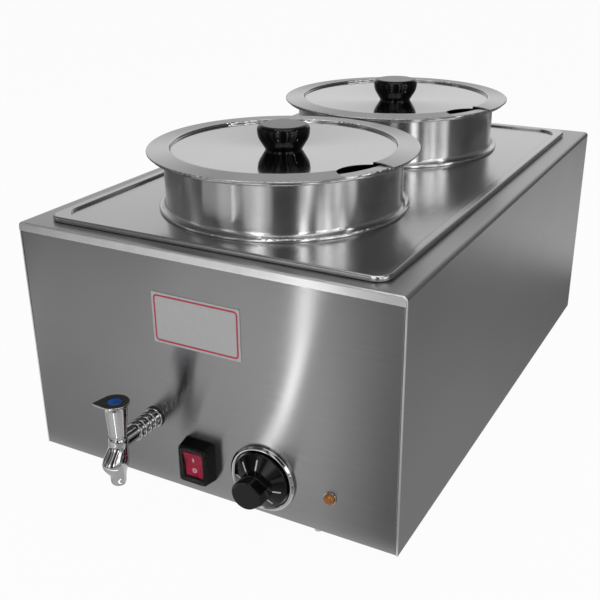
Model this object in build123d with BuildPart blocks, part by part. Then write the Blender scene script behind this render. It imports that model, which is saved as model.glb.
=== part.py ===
from build123d import *
import os
from math import cos, radians, sin, sqrt

os.makedirs("parts", exist_ok=True)

# All sizes are millimetres. The front faces -Y and the feet stand on Z = 0.
# The sizes run from the pots outwards: pots, plate, deck, body.

# Stainless sheet
sheet = 1.0
edge_bend = 0.5  # inner radius of the sharp folds
side_bend = 3.0  # inner radius of the folds between deck and sides

# Roundings, each as a share of the edge that it softens
slight_round = 0.2
soft_round = 0.3
full_round = 0.4
rolled_round = 0.49
hollow_round = 0.65
domed_round = 0.8

# Pots
pot_radius = 108.0  # outside of the wall above the plate
pot_step = 4.0  # the wall below the plate is this much smaller
pot_flange = 6.2  # bead that rests on the plate, out from the wall
pot_flange_height = 2.8
pot_rise = 52.2  # plate floor to the pot's rim
pot_drop = 134.3  # plate floor to the pot's underside
pot_heel = 12.0  # outside radius at the pot's bottom edge
pot_rim_width = 12.0  # flat rim, out from the wall
pot_rim_edge = 3.6  # rim's edge turned down
pot_rim_roll = 2.6  # thickness of the turned edge
pot_clearance = 1.5  # pot in the plate's hole

# Lids
lid_overhang = 14.6  # past the pot's wall
lid_fall = 1.2  # ring slopes down to its edge
lid_step = 2.3  # ring down to the sunk centre
lid_dish = 3.0  # sunk centre slopes down to the knob
lid_clearance = 4.5  # sunk centre inside the pot
lid_edge_height = 1.6  # edge rolled down
lid_edge_roll = 2.2  # thickness of the rolled edge
lid_gap = 8.8  # between the two lids
notch_radius = 25.0  # ladle notch
notch_depth = 33.0  # from the lid's edge inwards
notch_angle = -25.0  # from +X, towards the front

# Lid knobs
knob_radius = 23.9
knob_neck_radius = 16.9
knob_neck = 1.0  # straight foot of the neck
knob_seat = 2.0  # flat of the lid past the neck
knob_height = 22.9
knob_bowl_height = 12.2  # lid up to the bowl's swell
knob_edge_round = 5.0
knob_bowl_round = 18.0
knob_screw_radius = 2.0
knob_screw_reach = 10.0  # into the knob
knob_screw_head_radius = 4.5
knob_screw_head_height = 2.8

# Adaptor plate
plate_side_margin = 39.3  # pot bead to the recess wall
plate_end_margin = 14.8
plate_skirt = 8.0  # turned down into the well's mouth
rim_width = 9.0
rim_height = 5.0  # above the deck
rim_roll = 4.6  # width of the rolled outer edge
rim_round = 2.2
plate_corner = 14.0
recess_depth = 2.2
recess_corner = 22.0
recess_round = 1.4  # top edge of the recess
hole_collar = 8.0  # turned-down edge of each hole

# Water well
well_clearance = 1.5  # plate's skirt in the well's mouth
well_water_gap = 14.5  # under the pots
well_flange = 8.0
well_floor_round = 8.0

# Body
side_ledge = 21.5  # deck beside the plate
front_ledge = 12.0
rear_ledge = 22.0
service_height = 79.0  # room below the well
lip_height = 8.0
panel_return = 12.0  # folded edges of the front and rear panels
side_flange = 14.0  # foot of each side, folded in
fold_gap = 2.0  # between neighbouring folds
base_inset = 3.0
base_corner = 4.0
vent_length = 70.0
vent_width = 5.0
vent_pitch = 14.0
vent_rows = 7

# Feet and base screws
foot_height = 11.0
foot_radius = 14.0
foot_top_radius = 15.5
foot_inset = 48.0
foot_screw_radius = 2.0
foot_screw_head_radius = 4.0
foot_screw_head_height = 2.6
foot_screw_sink = 6.0  # head's seat above the floor
foot_nut_height = 3.2
foot_nut_radius = 4.0
screw_clearance = 0.3  # screws in their holes
base_screw_radius = 1.8
base_screw_length = 8.0
base_screw_head_radius = 3.6
base_screw_head_height = 2.2
base_screw_pitch = 180.0
base_screw_span = 110.0

# Controls on the front panel
bezel_radius = 31.0
control_margin = 5.0  # dial bezel to the panel's lower edge
control_pitch = 63.0  # switch, dial and lamp stand in a row
dial_inset = 123.5  # right side to the dial's axis
tap_pitch = 47.5  # tap left of the switch
label_width = 86.0
label_height = 46.0
label_corner = 0.8
label_thickness = 0.6
label_drop = 62.0  # deck to the label's middle

# Thermostat
bezel_band = 4.6
bezel_height = 4.5
bezel_drop = 1.4  # crest to the inner edge
dial_radius = 25.4
dial_gap = 2.6  # panel to the back of the dial
dial_rim = 3.0
dial_crown = 9.4  # dial's back to the top of its cone
grip_radius = 13.0
grip_nose = 15.0  # axis to the pointed end
grip_nose_width = 11.0
grip_nose_round = 0.8
grip_length = 18.0
grip_round = 1.0
shaft_radius = 3.0
shaft_running = 0.05  # shaft in its bush
shaft_reach = 15.0  # out of the panel
bush_radius = 5.5
bush_rise = 1.5
bush_clearance = 0.5
thermostat_width = 42.0
thermostat_depth = 30.0
thermostat_round = 3.0
thermostat_screw_span = 30.0
thermostat_screw_radius = 1.9
thermostat_screw_length = 8.0
thermostat_screw_head_radius = 3.8
thermostat_screw_head_height = 1.8
bulb_radius = 3.0
bulb_length = 75.0
capillary_radius = 1.0
capillary_bend = 9.0
contact_gap = 0.2  # round pieces under the well's floor
clip_width = 20.0
clip_length = 8.0
clip_wall = 2.0
clip_inset = 15.0  # from each end of the bulb

# Rocker switch
switch_width = 30.5
switch_tall = 38.0
switch_depth = 13.5
switch_face_inset = 1.5  # face smaller than the foot, each side
switch_corner = 2.5
rocker_width = 18.5
rocker_tall = 25.0
rocker_gap = 0.9  # rocker in its pocket
rocker_tilt = 7.0  # each way from the middle
rocker_pivot = 7.5  # pivot out from the panel
rocker_end = 4.5  # pivot to the rocker's raised ends
rocker_middle = 3.0  # pivot to the hollow between them
rocker_skirt = 2.0  # pivot to the lower corners of the raised ends
rocker_root = 5.0  # pivot to the rocker's inner end
rocker_root_tall = 10.0
rocker_pin_radius = 1.5
rocker_pin_length = 1.2
switch_pocket = 6.0  # pocket's floor behind the panel
switch_body_width = 21.5
switch_body_tall = 28.6
switch_body_depth = 24.0
switch_ear = 1.6
switch_fit = 0.3  # switch body in the panel
blade_width = 6.3
blade_thickness = 0.8
blade_length = 9.0
blade_pitch_x = 11.0
blade_pitch_z = 13.0
cap_inset = 0.8  # clear cap inside the face's edge
cap_rise = 2.4
cap_wall = 0.8
cap_corner = 3.0

# Pilot lamp
lamp_radius = 4.8
lamp_dome = 4.0
lamp_flange_radius = 5.8
lamp_flange = 1.0
lamp_barrel_radius = 4.2
lamp_barrel_length = 22.0
lamp_clearance = 0.3
lamp_nut_radius = 7.0
lamp_nut_height = 2.0

# Drain tap
tap_reach = 50.0  # panel to the tap's upright axis
tap_tail_radius = 7.6
tap_tail_length = 44.0  # inside the panel
tap_tail_clearance = 0.4
tap_collar_radius = 9.6
tap_collar = 2.0
washer_thickness = 1.2
washer_radius = 9.8
shank_radius = 6.6
ring_radius = 8.6
ring_width = 3.6
ring_pitch = 6.6
ring_count = 4
ring_round = 1.2
barrel_radius = 7.5
barrel_rise = 7.0  # shank axis to the barrel's top
spout_drop = 36.5  # shank axis to the outlet
spout_lean = 4.0  # outlet forward of the axis
outlet_radius = 5.4
outlet_bore = 4.0
# Spout's swell: drop below the shank axis, half width, half length, lean
spout_sections = [
    (2.0, 8.2, 9.0, 1.0),
    (8.0, 9.2, 11.8, 3.8),
    (14.0, 10.0, 13.2, 5.8),
    (22.0, 8.2, 10.2, 5.2),
    (30.0, 6.6, 7.0, 4.4),
]
water_bore = 5.0
chamber_radius = 5.6
chamber_depth = 13.0  # barrel's top to the chamber's floor
bonnet_radius = 5.5
bonnet_depth = 5.0
bonnet_flange_radius = 7.2
bonnet_flange = 2.0
spindle_radius = 4.0
spindle_running = 0.05
plug_radius = 5.3
plug_gap = 0.3
plug_port = 3.0
handle_gap = 0.4
handle_height = 31.0
handle_foot_radius = 7.6
handle_stem_radius = 10.0  # stem under the head
handle_set_back = 0.8  # stem's top away from the tip
handle_neck_radius = 8.4  # start of the swept-out tip
handle_flare = 5.5  # height of the swept-out tip
handle_top = 1.8
handle_head_radius = 12.4
handle_tip = 18.0  # axis to the lever's tip
handle_tip_round = 1.5
handle_angle = 217.0  # lever's direction at rest, from +X
spindle_fit = 0.05  # spindle in the handle
handle_screw_radius = 1.9
handle_screw_length = 10.0
handle_screw_head_radius = 3.4
handle_screw_head_height = 2.6
handle_screw_sink = 6.0  # head's seat below the top
handle_screw_clearance = 0.15
cap_radius = 6.0
cap_height = 1.8
cap_clearance = 0.2
lock_nut_radius = 13.0
lock_nut_height = 7.0
drain_cover = 6.4  # elbow metal over the tail
drain_wall = 5.0
drain_socket = 14.0  # tail inside the elbow
drain_shoulder = 2.0  # wall that the tail's end stops at
drain_mouth = 8.0  # hole down from the well
drain_passage = 6.0  # on from the tail's end

# Heating
element_radius = 4.2
element_side = 64.0  # element in from the well's sides
element_front = 130.0
element_rear = 60.0
element_bend = 40.0
pin_radius = 1.8
pin_length = 14.0
spreader_width = 240.0
spreader_length = 250.0
spreader_sheet = 1.5
spreader_corner = 10.0
stud_radius = 2.5
stud_tail = 9.0  # below the spreader
stud_span_x = 110.0
stud_span_y = 180.0
stud_nut_radius = 4.6
stud_nut_height = 4.0
cutout_radius = 8.0
cutout_height = 10.0
cutout_ear = 14.0
cutout_ear_sheet = 1.2
cutout_x = 0.0
cutout_front = 75.0  # from the well's front wall

# Mains connection at the back
gland_inset = 74.0  # right side to the gland's axis
gland_height = 36.0
gland_bore = 4.5
gland_thread_radius = 8.0
gland_hex_radius = 11.0
gland_hex = 5.0
gland_dome_radius = 9.6
gland_dome = 14.0
gland_dome_round = 3.0
gland_tail = 12.0
gland_nut_radius = 11.0
gland_nut_height = 4.0
block_width = 46.0
block_depth = 20.0
block_height = 18.0
block_round = 1.5
block_poles = 3
block_pitch = 14.0
block_setback = 80.0  # rear panel to the block's middle
block_well_radius = 3.4
block_well_depth = 7.0
block_screw_radius = 3.0
block_screw_height = 4.0
block_slot_width = 0.8
block_slot_depth = 1.2
earth_setback = 60.0
earth_offset = 36.0  # right of the gland
earth_radius = 2.5
earth_height = 16.0
earth_nut_radius = 4.6
earth_nut_height = 4.0
earth_wire_gap = 3.0  # room for the earth wire's eye
wire_radius = 1.3
wire_bend = 9.0
wire_run = 25.0  # straight start at each terminal
lamp_wire_run = 40.0  # the lamp's return wire passes behind the other
wire_climb_start = 45.0  # before the element's pins
wire_climb_end = 30.0
wire_lift = 10.0  # wires above the base at the terminal block
wire_spread = 1.6  # two wires on one blade, each way
eye_radius = 4.4

# Worked out from the sizes above
low = (Align.CENTER, Align.CENTER, Align.MIN)
high = (Align.CENTER, Align.CENTER, Align.MAX)

pot_low_radius = pot_radius - pot_step
pot_flange_radius = pot_radius + pot_flange
pot_rim_radius = pot_radius + pot_rim_width
lid_radius = pot_radius + lid_overhang
lid_sink_radius = pot_radius - sheet - lid_clearance
pot_pitch = 2 * lid_radius + lid_gap
hole_radius = pot_low_radius + pot_clearance

recess_width = 2 * (pot_flange_radius + plate_side_margin)
recess_length = pot_pitch + 2 * (pot_flange_radius + plate_end_margin)
plate_width = recess_width + 2 * rim_width
plate_length = recess_length + 2 * rim_width
well_width = recess_width + 2 * (sheet + well_clearance)
well_length = recess_length + 2 * (sheet + well_clearance)
well_corner = recess_corner + sheet + well_clearance

body_width = plate_width + 2 * side_ledge
body_depth = plate_length + front_ledge + rear_ledge
plate_y = (front_ledge - rear_ledge) / 2
inside_width = body_width - 2 * sheet
front_face = -body_depth / 2
rear_face = body_depth / 2

body_bottom = foot_height + sheet
well_base = body_bottom + service_height
well_floor = well_base + sheet
plate_floor = well_floor + well_water_gap + pot_drop
deck_top = plate_floor + recess_depth - rim_height
deck_under = deck_top - sheet
body_height = deck_top - body_bottom
rim_top = deck_top + rim_height
pot_rim = plate_floor + pot_rise
pot_rim_round = full_round * pot_rim_edge
lid_slope = lid_fall / (lid_radius - lid_sink_radius)
lid_seat = pot_rim + pot_rim_round * (sqrt(1 + lid_slope**2) - 1)
lid_top = lid_seat + sheet + lid_slope * (pot_rim_radius - pot_rim_round - lid_sink_radius)
lid_floor = lid_top - lid_step - lid_dish

control_z = body_bottom + bezel_radius + control_margin
dial_x = body_width / 2 - dial_inset
switch_x = dial_x - control_pitch
lamp_x = dial_x + control_pitch
tap_x = switch_x - tap_pitch
tap_y = front_face - tap_reach
tap_z = well_base - drain_cover - tap_tail_radius
well_front = plate_y - well_length / 2 - sheet
panel_inside = front_face + sheet
label_z = deck_top - label_drop
gland_x = body_width / 2 - gland_inset
gland_z = body_bottom + gland_height


def save(piece, name):
    piece.part.label = name
    export_step(piece.part, f"parts/{name}.step")


def upright_section(x, y):
    """Half section through an upright axis: x is the radius, y the height."""
    return Plane(origin=(x, y, 0), x_dir=(1, 0, 0), z_dir=(0, -1, 0))


def upright_axis(x, y):
    return Axis((x, y, 0), (0, 0, 1))


def panel_section(x, z):
    """Half section through an axis square to the front panel: y is the height off the panel."""
    return Plane(origin=(x, front_face, z), x_dir=(1, 0, 0), z_dir=(0, 0, -1))


def panel_axis(x, z):
    return Axis((x, front_face, z), (0, -1, 0))


def panel_plane(x, z, height=0.0):
    """Face plane on the front panel: x to the right, y up, normal towards the front."""
    return Plane(origin=(x, front_face - height, z), x_dir=(1, 0, 0), z_dir=(0, -1, 0))


def turned(corners, plane, axis, mode=Mode.ADD):
    """Turned piece from the corners of its half section: radius, height and rounding."""
    with BuildSketch(plane) as half:
        with BuildLine():
            FilletPolyline(
                *[(radius, height) for radius, height, _ in corners],
                radius=[rounding for _, _, rounding in corners],
                close=True,
            )
        make_face()
    revolve(half.sketch, axis=axis, mode=mode)


def drilled(plane, radius, depth, places=((0, 0),)):
    """Round holes into the current piece, from the plane against its normal."""
    with BuildSketch(plane) as holes:
        with Locations(*places):
            Circle(radius)
    extrude(holes.sketch, amount=-depth, mode=Mode.SUBTRACT)


def hexagon_nut(plane, radius, bore, height, places=((0, 0),)):
    with BuildSketch(plane) as hexagons:
        with Locations(*places):
            RegularPolygon(radius, 6)
            Circle(bore, mode=Mode.SUBTRACT)
    extrude(hexagons.sketch, amount=height)


def tube(points, radius, bend):
    """Round rod or wire along straight runs joined by arcs."""
    with BuildLine() as route:
        FilletPolyline(*points, radius=bend)
    with BuildSketch(Plane(origin=route.line @ 0, z_dir=route.line % 0)) as round_end:
        Circle(radius)
    sweep(round_end.sketch, path=route.line)


# Body: deck and sides from one sheet, lips over the front and rear panels
screw_x = (inside_width - side_flange) / 2
screw_y = (body_depth - panel_return) / 2
side_screws = [(side * screw_x, row * base_screw_pitch) for side in (-1, 1) for row in (-1, 0, 1)]
front_screws = [(side * base_screw_span, -screw_y) for side in (-1, 1)]
rear_screws = [(side * base_screw_span, screw_y) for side in (-1, 1)]
screw_hole = base_screw_radius + screw_clearance

with BuildPart() as body_wrap:
    with Locations((0, 0, body_bottom)):
        Box(body_width, body_depth + 2 * sheet, body_height, align=low)
    fillet(body_wrap.edges().filter_by(Axis.Y).group_by(Axis.Z)[-1], side_bend + sheet)
    end_edges = body_wrap.faces().filter_by(Axis.Y).edges()
    fillet(end_edges.filter_by(lambda edge: edge.center().Z > body_bottom + sheet), edge_bend + sheet)
    offset(amount=-sheet, openings=body_wrap.faces().sort_by(Axis.Z)[0])
    with BuildSketch(Plane.XY.offset(body_bottom)):
        with GridLocations(0, body_depth + 2 * sheet, 1, 2):
            Rectangle(body_width, 2 * sheet)
    extrude(amount=body_height - lip_height, mode=Mode.SUBTRACT)
    with BuildSketch(Plane.XY.offset(body_bottom)):
        with GridLocations(inside_width - side_flange, 0, 2, 1):
            Rectangle(side_flange, body_depth - 2 * (panel_return + fold_gap))
        with Locations(*side_screws):
            Circle(screw_hole, mode=Mode.SUBTRACT)
    extrude(amount=sheet)
    with BuildSketch(Plane.XY.offset(deck_under)):
        with Locations((0, plate_y)):
            RectangleRounded(well_width, well_length, well_corner)
    extrude(amount=sheet, mode=Mode.SUBTRACT)
save(body_wrap, "body_wrap")


def folded_panel(outward):
    """Front or rear panel with its sides and foot folded inwards."""
    with BuildPart() as panel:
        with Locations((0, outward * (body_depth - panel_return) / 2, body_bottom)):
            Box(inside_width, panel_return, deck_under - edge_bend - body_bottom, align=low)
        outer = panel.faces().filter_by(Axis.Y).sort_by(Axis.Y)[:: -outward][0]
        fillet(outer.edges().sort_by(Axis.Z)[:-1], edge_bend + sheet)
        openings = [panel.faces().sort_by(Axis.Y)[:: -outward][-1], panel.faces().sort_by(Axis.Z)[-1]]
        offset(amount=-sheet, openings=openings)
        top_corners = [(side * inside_width / 2, outward * body_depth / 2, deck_under) for side in (-1, 1)]
        with Locations(*top_corners):
            Box(2 * side_bend, 3 * panel_return, 2 * side_bend, mode=Mode.SUBTRACT)
    return panel.part


front_tray = folded_panel(-1)
rear_tray = folded_panel(1)

with BuildPart() as front_panel:
    add(front_tray)
    drilled(Plane.XY.offset(body_bottom + sheet), screw_hole, sheet, front_screws)
    drilled(panel_plane(tap_x, tap_z), tap_tail_radius + tap_tail_clearance, sheet)
    drilled(panel_plane(dial_x, control_z), bush_radius + bush_clearance, sheet)
    screw_places = [(-thermostat_screw_span / 2, 0), (thermostat_screw_span / 2, 0)]
    drilled(panel_plane(dial_x, control_z), thermostat_screw_radius + screw_clearance, sheet, screw_places)
    drilled(panel_plane(lamp_x, control_z), lamp_barrel_radius + lamp_clearance, sheet)
    with BuildSketch(panel_plane(switch_x, control_z)):
        Rectangle(switch_body_width + 2 * switch_fit, switch_body_tall + 2 * switch_fit)
    extrude(amount=-sheet, mode=Mode.SUBTRACT)
save(front_panel, "front_panel")

gland_plane = Plane(origin=(gland_x, rear_face, gland_z), x_dir=(-1, 0, 0), z_dir=(0, 1, 0))

with BuildPart() as rear_panel:
    add(rear_tray)
    drilled(Plane.XY.offset(body_bottom + sheet), screw_hole, sheet, rear_screws)
    drilled(gland_plane, gland_thread_radius + screw_clearance, sheet)
save(rear_panel, "rear_panel")

foot_x = body_width / 2 - foot_inset
foot_y = body_depth / 2 - foot_inset
foot_places = [(side * foot_x, end * foot_y) for side in (-1, 1) for end in (-1, 1)]

with BuildPart() as base_plate:
    with BuildSketch(Plane.XY.offset(foot_height)):
        RectangleRounded(body_width - 2 * base_inset, body_depth - 2 * base_inset, base_corner)
        with GridLocations(0, vent_pitch, 1, vent_rows):
            SlotOverall(vent_length, vent_width, mode=Mode.SUBTRACT)
        with Locations(*side_screws, *front_screws, *rear_screws):
            Circle(screw_hole, mode=Mode.SUBTRACT)
        with Locations(*foot_places):
            Circle(foot_screw_radius + screw_clearance, mode=Mode.SUBTRACT)
    extrude(amount=sheet)
save(base_plate, "base_plate")

with BuildPart() as base_screws:
    with Locations(*[(x, y, foot_height) for x, y in side_screws + front_screws + rear_screws]):
        Cylinder(base_screw_head_radius, base_screw_head_height, align=high)
        Cylinder(base_screw_radius, base_screw_length, align=low)
save(base_screws, "base_screws")

with BuildPart() as rubber_feet:
    with Locations(*[(x, y, 0) for x, y in foot_places]):
        Cone(foot_radius, foot_top_radius, foot_height, align=low)
        Cylinder(foot_screw_radius + screw_clearance, foot_height, align=low, mode=Mode.SUBTRACT)
        Cylinder(foot_screw_head_radius + screw_clearance, foot_screw_sink, align=low, mode=Mode.SUBTRACT)
save(rubber_feet, "rubber_feet")

foot_nut_top = body_bottom + foot_nut_height

with BuildPart() as foot_screws:
    with Locations(*[(x, y, foot_screw_sink) for x, y in foot_places]):
        Cylinder(foot_screw_head_radius, foot_screw_head_height, align=high)
        Cylinder(foot_screw_radius, foot_nut_top + sheet - foot_screw_sink, align=low)
save(foot_screws, "foot_screws")

with BuildPart() as foot_nuts:
    nut_bore = foot_screw_radius + screw_clearance / 2
    hexagon_nut(Plane.XY.offset(body_bottom), foot_nut_radius, nut_bore, foot_nut_height, foot_places)
save(foot_nuts, "foot_nuts")

# Water well, hung under the deck by its flange
drain_width = 2 * (tap_tail_radius + drain_wall)
drain_front = panel_inside + tap_tail_length - drain_socket
drain_length = drain_socket + drain_shoulder + 2 * drain_mouth + drain_wall
drain_y = drain_front + drain_socket + drain_shoulder + drain_mouth

with BuildPart() as water_well:
    with BuildSketch(Plane.XY.offset(well_base)):
        with Locations((0, plate_y)):
            RectangleRounded(well_width + 2 * sheet, well_length + 2 * sheet, well_corner + sheet)
    extrude(amount=deck_under - well_base)
    fillet(water_well.faces().sort_by(Axis.Z)[0].edges(), well_floor_round)
    offset(amount=-sheet, openings=water_well.faces().sort_by(Axis.Z)[-1])
    with BuildSketch(Plane.XY.offset(deck_under - sheet)):
        with Locations((0, plate_y)):
            flange_width = well_width + 2 * well_flange
            RectangleRounded(flange_width, well_length + 2 * well_flange, well_corner + well_flange)
            RectangleRounded(well_width, well_length, well_corner, mode=Mode.SUBTRACT)
    extrude(amount=sheet)
    drilled(Plane.XY.offset(well_floor), drain_mouth, sheet, [(tap_x, drain_y)])
save(water_well, "water_well")

with BuildPart() as drain_elbow:
    with Locations((tap_x, drain_front, well_base)):
        elbow_height = drain_cover + 2 * tap_tail_radius + drain_wall
        Box(drain_width, drain_length, elbow_height, align=(Align.CENTER, Align.MIN, Align.MAX))
    fillet(drain_elbow.edges().filter_by(Axis.Z), drain_wall / 2)
    socket_plane = Plane(origin=(tap_x, drain_front, tap_z), x_dir=(1, 0, 0), z_dir=(0, -1, 0))
    drilled(socket_plane, tap_tail_radius + contact_gap, drain_socket)
    drilled(socket_plane, drain_passage, drain_y + drain_passage - drain_front)
    drilled(Plane.XY.offset(well_base), drain_mouth, well_base - tap_z, [(tap_x, drain_y)])
save(drain_elbow, "drain_elbow")

# Adaptor plate: rolled rim on the deck, sunk floor with a hole for each pot
pot_places = [(0, plate_y - pot_pitch / 2), (0, plate_y + pot_pitch / 2)]

with BuildPart() as adaptor_plate:
    with BuildSketch(Plane.XY.offset(deck_top)):
        with Locations((0, plate_y)):
            RectangleRounded(plate_width, plate_length, plate_corner)
    extrude(amount=rim_height)
    fillet(adaptor_plate.faces().filter_by(Axis.Z).edges(), rim_round)
    with BuildSketch(Plane.XY.offset(deck_top)):
        with Locations((0, plate_y)):
            inner_width = plate_width - 2 * rim_roll
            RectangleRounded(inner_width, plate_length - 2 * rim_roll, plate_corner - rim_roll)
    extrude(amount=rim_height - sheet, mode=Mode.SUBTRACT)
    with BuildSketch(Plane.XY.offset(plate_floor - sheet)):
        with Locations((0, plate_y)):
            RectangleRounded(recess_width + 2 * sheet, recess_length + 2 * sheet, recess_corner + sheet)
    extrude(amount=rim_top - plate_floor + sheet)
    with BuildSketch(Plane.XY.offset(plate_floor)):
        with Locations((0, plate_y)):
            RectangleRounded(recess_width, recess_length, recess_corner)
    extrude(amount=recess_depth, mode=Mode.SUBTRACT)
    recess_edge = adaptor_plate.faces().filter_by(Axis.Z).sort_by(Axis.Z)[-1].inner_wires()[0].edges()
    fillet(recess_edge, recess_round)
    with BuildSketch(Plane.XY.offset(plate_floor - sheet)):
        with Locations(*pot_places):
            Circle(hole_radius + sheet)
    extrude(amount=-hole_collar)
    drilled(Plane.XY.offset(plate_floor), hole_radius, sheet + hole_collar, pot_places)
    with BuildSketch(Plane.XY.offset(plate_floor - sheet)):
        with Locations((0, plate_y)):
            RectangleRounded(recess_width + 2 * sheet, recess_length + 2 * sheet, recess_corner + sheet)
            RectangleRounded(recess_width, recess_length, recess_corner, mode=Mode.SUBTRACT)
    extrude(amount=deck_top - plate_skirt - plate_floor + sheet)
save(adaptor_plate, "adaptor_plate")


# Pots, lids and knobs, alike front and rear
def make_pot(place):
    flange_top = plate_floor + pot_flange_height
    edge_bottom = pot_rim - pot_rim_edge
    roll_in = pot_rim_radius - pot_rim_roll
    inner = pot_radius - sheet
    inner_low = pot_low_radius - sheet
    corners = [
        (0, plate_floor - pot_drop, 0),
        (pot_low_radius, plate_floor - pot_drop, pot_heel),
        (pot_low_radius, plate_floor, 0),
        (pot_flange_radius, plate_floor, soft_round * pot_flange_height),
        (pot_flange_radius, flange_top, soft_round * pot_flange),
        (pot_radius, flange_top, hollow_round * pot_flange),
        (pot_radius, pot_rim - sheet, sheet),
        (roll_in, pot_rim - sheet, 0),
        (roll_in, edge_bottom, rolled_round * pot_rim_roll),
        (pot_rim_radius, edge_bottom, rolled_round * pot_rim_roll),
        (pot_rim_radius, pot_rim, pot_rim_round),
        (inner, pot_rim, pot_rim_round),
        (inner, plate_floor + sheet, soft_round * pot_step),
        (inner_low, plate_floor + sheet, soft_round * pot_step),
        (inner_low, plate_floor - pot_drop + sheet, pot_heel - sheet),
        (0, plate_floor - pot_drop + sheet, 0),
    ]
    with BuildPart() as pot:
        turned(corners, upright_section(*place), upright_axis(*place))
    return pot


def make_lid(place):
    sink_inner = lid_sink_radius - sheet
    sink_floor = lid_top - lid_step
    flat = knob_neck_radius + knob_seat
    roll_in = lid_radius - lid_edge_roll
    edge_top = lid_top - lid_fall
    edge_bottom = edge_top - lid_edge_height
    roll_top = edge_top + lid_slope * lid_edge_roll - sheet
    corners = [
        (0, lid_floor, 0),
        (flat, lid_floor, 0),
        (sink_inner, sink_floor, soft_round * lid_step),
        (sink_inner, lid_top + lid_slope * sheet, full_round * lid_step),
        (lid_radius, edge_top, full_round * lid_edge_height),
        (lid_radius, edge_bottom, full_round * lid_edge_height),
        (roll_in, edge_bottom, slight_round * lid_edge_height),
        (roll_in, roll_top, 0),
        (lid_sink_radius, lid_top - sheet, slight_round * lid_step),
        (lid_sink_radius, sink_floor - sheet, lid_step / 2),
        (flat, lid_floor - sheet, 0),
        (0, lid_floor - sheet, 0),
    ]
    notch_x = place[0] + lid_radius * cos(radians(notch_angle))
    notch_y = place[1] + lid_radius * sin(radians(notch_angle))
    with BuildPart() as lid:
        turned(corners, upright_section(*place), upright_axis(*place))
        with BuildSketch(Plane.XY.offset(lid_floor)) as notch:
            with Locations((notch_x, notch_y)):
                SlotOverall(2 * notch_depth, 2 * notch_radius, rotation=notch_angle)
        extrude(notch.sketch, amount=knob_height, both=True, mode=Mode.SUBTRACT)
        drilled(Plane.XY.offset(lid_floor), knob_screw_radius + screw_clearance, sheet, [place])
    return lid


def make_knob(place):
    top = lid_floor + knob_height
    corners = [
        (0, lid_floor, 0),
        (knob_neck_radius, lid_floor, 0),
        (knob_neck_radius, lid_floor + knob_neck, 0),
        (knob_radius, lid_floor + knob_bowl_height, knob_bowl_round),
        (knob_radius, top, knob_edge_round),
        (0, top, 0),
    ]
    with BuildPart() as knob:
        turned(corners, upright_section(*place), upright_axis(*place))
        with Locations((*place, lid_floor)):
            bore = knob_screw_radius + screw_clearance / 2
            Cylinder(bore, knob_screw_reach + sheet, align=low, mode=Mode.SUBTRACT)
    return knob


def make_knob_screw(place):
    with BuildPart() as screw:
        with Locations((*place, lid_floor - sheet)):
            Cylinder(knob_screw_head_radius, knob_screw_head_height, align=high)
            Cylinder(knob_screw_radius, sheet + knob_screw_reach, align=low)
        fillet(screw.faces().sort_by(Axis.Z)[0].edges(), knob_screw_head_height / 3)
    return screw


for end, place in zip(("front", "rear"), pot_places):
    save(make_pot(place), f"{end}_pot")
    save(make_lid(place), f"{end}_lid")
    save(make_knob(place), f"{end}_lid_knob")
    save(make_knob_screw(place), f"{end}_knob_screw")

# Drain tap
tap_top = tap_z + barrel_rise
handle_bottom = tap_top + bonnet_flange + handle_gap
handle_roof = handle_bottom + handle_height
spout_bottom = tap_z - spout_drop
collar_start = washer_thickness
collar_end = collar_start + tap_collar

shank_corners = [
    (0, -sheet - tap_tail_length, 0),
    (tap_tail_radius, -sheet - tap_tail_length, 0),
    (tap_tail_radius, collar_start, 0),
    (tap_collar_radius, collar_start, soft_round * tap_collar),
    (tap_collar_radius, collar_end, full_round * tap_collar),
    (shank_radius, collar_end, 0),
]
for ring in range(ring_count):
    ring_start = collar_end + ring_pitch - ring_width + ring * ring_pitch
    shank_corners += [
        (shank_radius, ring_start, 0),
        (ring_radius, ring_start, ring_round),
        (ring_radius, ring_start + ring_width, ring_round),
        (shank_radius, ring_start + ring_width, 0),
    ]
shank_corners += [(shank_radius, tap_reach, 0), (0, tap_reach, 0)]

with BuildPart() as tap_body:
    turned(shank_corners, panel_section(tap_x, tap_z), panel_axis(tap_x, tap_z))
    barrel_section = (-barrel_rise, barrel_radius, barrel_radius, 0)
    outlet_section = (spout_drop, outlet_radius, outlet_radius, spout_lean)
    for drop, half_width, half_length, lean in (barrel_section, *spout_sections, outlet_section):
        with BuildSketch(Plane.XY.offset(tap_z - drop)):
            with Locations((tap_x, tap_y - lean)):
                Ellipse(half_width, half_length)
    loft()
    drilled(Plane.XY.offset(tap_top), chamber_radius, chamber_depth, [(tap_x, tap_y)])
    outlet = Vector(tap_x, tap_y - spout_lean, spout_bottom)
    run = outlet - Vector(tap_x, tap_y, tap_top - chamber_depth)
    outlet_plane = Plane(origin=outlet + run.normalized() * outlet_bore, x_dir=(1, 0, 0), z_dir=run)
    drilled(outlet_plane, outlet_bore, run.length + outlet_bore)
    tail_end = Plane(origin=(tap_x, panel_inside + tap_tail_length, tap_z), x_dir=(1, 0, 0), z_dir=(0, 1, 0))
    drilled(tail_end, water_bore, tap_tail_length + sheet + tap_reach)
save(tap_body, "tap_body")

with BuildPart() as tap_washers:
    for plane in (panel_plane(tap_x, tap_z), panel_plane(tap_x, tap_z, -sheet - washer_thickness)):
        with BuildSketch(plane):
            Circle(washer_radius)
            Circle(tap_tail_radius + contact_gap, mode=Mode.SUBTRACT)
        extrude(amount=washer_thickness)
save(tap_washers, "tap_washers")

with BuildPart() as tap_lock_nut:
    nut_plane = panel_plane(tap_x, tap_z, -sheet - washer_thickness - lock_nut_height)
    hexagon_nut(nut_plane, lock_nut_radius, tap_tail_radius + contact_gap, lock_nut_height)
save(tap_lock_nut, "tap_lock_nut")

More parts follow.
